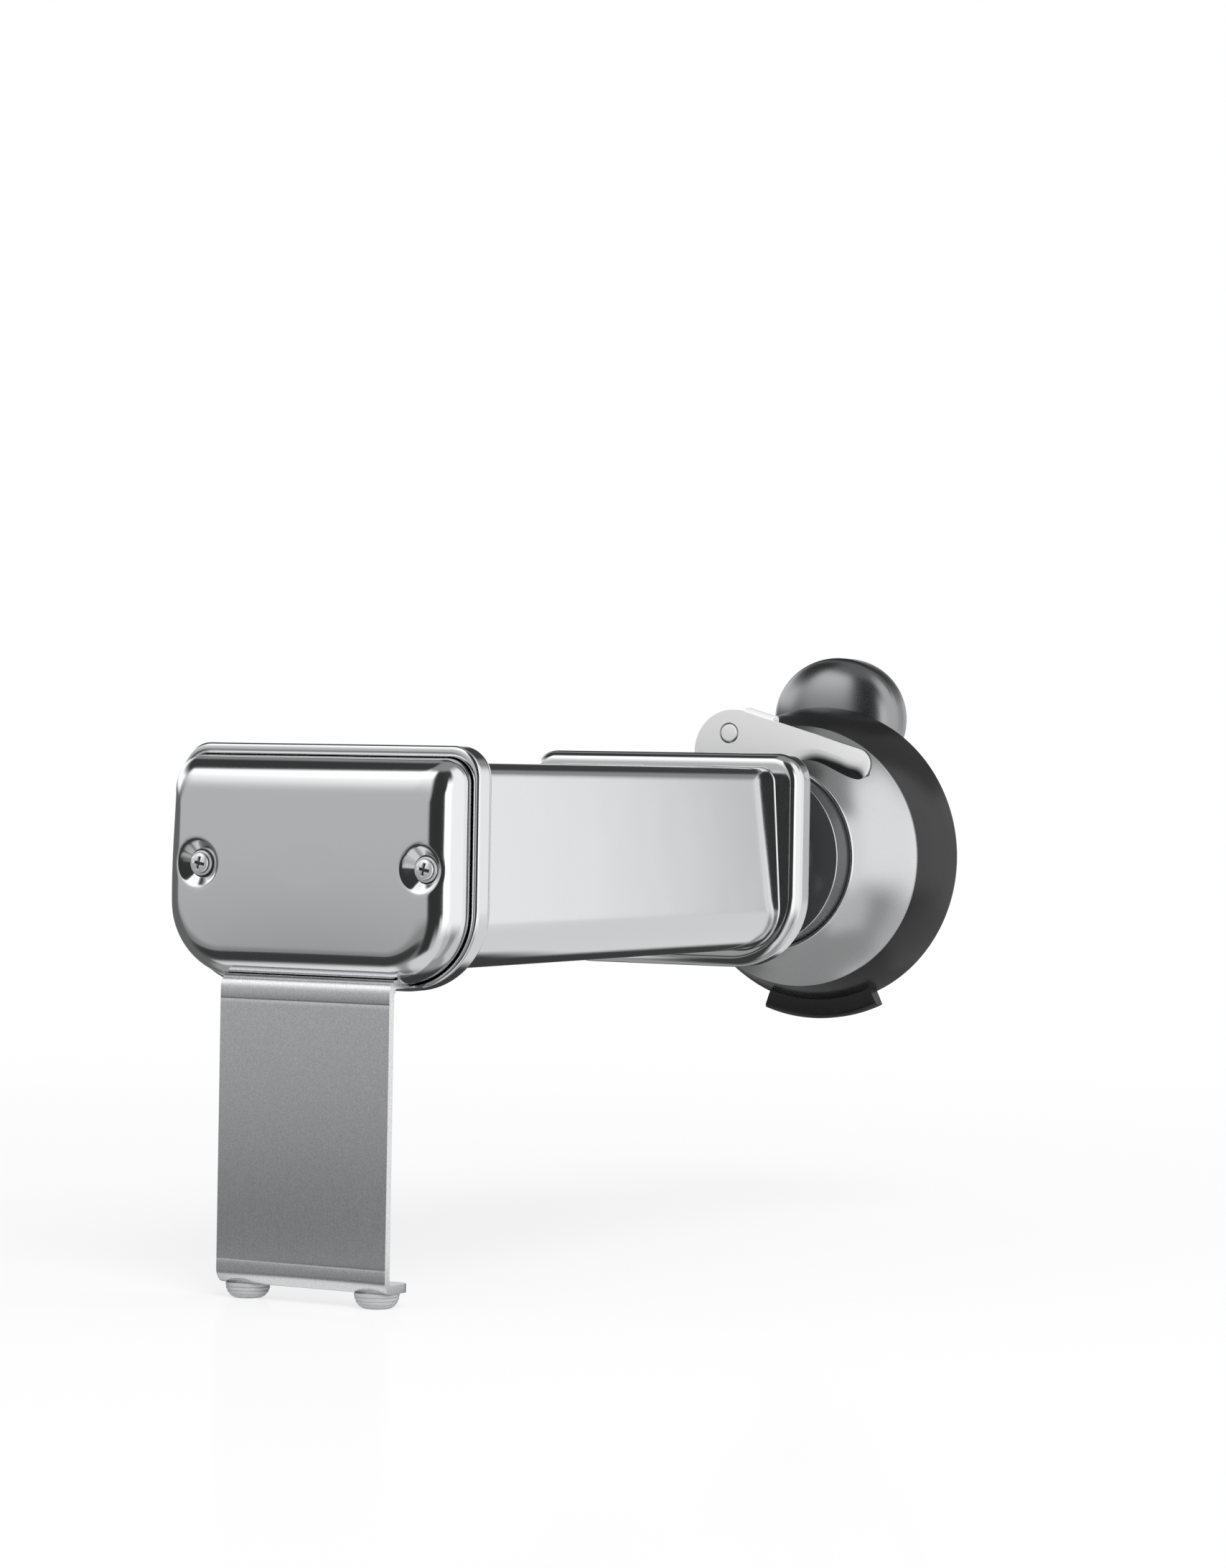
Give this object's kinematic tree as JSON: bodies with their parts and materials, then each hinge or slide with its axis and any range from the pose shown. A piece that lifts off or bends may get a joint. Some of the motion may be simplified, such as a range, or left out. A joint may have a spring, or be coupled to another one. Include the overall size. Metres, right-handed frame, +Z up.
{
  "type": "pasta cutter attachment",
  "caption": "Chromed pasta cutter head with meshed cutting rolls, on a flared drive adapter with a locking lever and a bent sheet leg with bumpers.",
  "frame": {"origin": "on the drive axis, in the plane where the adapter's body seats on the machine, at the root of its spigot", "axes": "+X along the rolls and the drive axis, out of the head into the machine; +Y towards the back, where the second roll is; +Z up"},
  "size_m": [0.2663, 0.0961, 0.1513],
  "materials": {
    "chrome_sheet": "mirror chrome on drawn sheet",
    "satin_sheet": "satin, fine grain",
    "screw_steel": "bright zinc",
    "bumper_rubber": "soft translucent grey",
    "cast_silver": "satin silver casting",
    "dark_moulding": "gloss dark grey",
    "lever_sheet": "pale matt steel",
    "turned_steel": "fine turned",
    "sintered_bronze": "dull sintered",
    "stripper_plastic": "white acetal",
    "zinc_sheet": "bright zinc on sheet"
  },
  "bodies": {
    "frame": {"cover_left": "chrome_sheet", "tray_left": "chrome_sheet", "tray_right": "chrome_sheet", "shell_front": "chrome_sheet", "shell_rear": "chrome_sheet", "leg": "satin_sheet", "cover_screws": "screw_steel", "cover_washers": "screw_steel", "leg_screws": "screw_steel", "tie_screws": "screw_steel", "plate_screws": "screw_steel", "hub_screws": "screw_steel", "collar_screws": "screw_steel", "foot_bumpers": "bumper_rubber", "bell": "cast_silver", "dome": "cast_silver", "collar": "dark_moulding", "hub": "dark_moulding", "lever_pin": "lever_sheet", "tie_rods": "turned_steel", "journal_bushes": "sintered_bronze", "shaft_bush": "sintered_bronze", "comb_front": "stripper_plastic", "comb_rear": "stripper_plastic", "closing_plate": "zinc_sheet", "plate_studs": "zinc_sheet", "cover_posts": "zinc_sheet"},
    "driven_roll": {"cutter_front": "turned_steel", "gear_front": "turned_steel", "retaining_ring_front": "turned_steel", "drive_shaft": "turned_steel", "shaft_ring": "turned_steel"},
    "rear_roll": {"cutter_rear": "turned_steel", "gear_rear": "turned_steel", "retaining_ring_rear": "turned_steel"},
    "lock_lever": {"lever": "lever_sheet"}
  },
  "joints": [
    {"name": "drive_spin", "type": "hinge", "parent": "frame", "child": "driven_roll", "pos_m": [0, 0, 0], "axis": [1, 0, 0], "continuous": true},
    {"name": "rear_roll_spin", "type": "hinge", "parent": "frame", "child": "rear_roll", "pos_m": [0, 0.025, 0], "axis": [1, 0, 0], "continuous": true},
    {"name": "lever_lift", "type": "hinge", "parent": "frame", "child": "lock_lever", "pos_m": [-0.0508, 0.0096, 0.0322], "axis": [-1, 0, 0], "range_deg": [0, 30]}
  ],
  "couplings": [
    {"joint": "rear_roll_spin", "follows": "drive_spin", "ratio": -1}
  ]
}
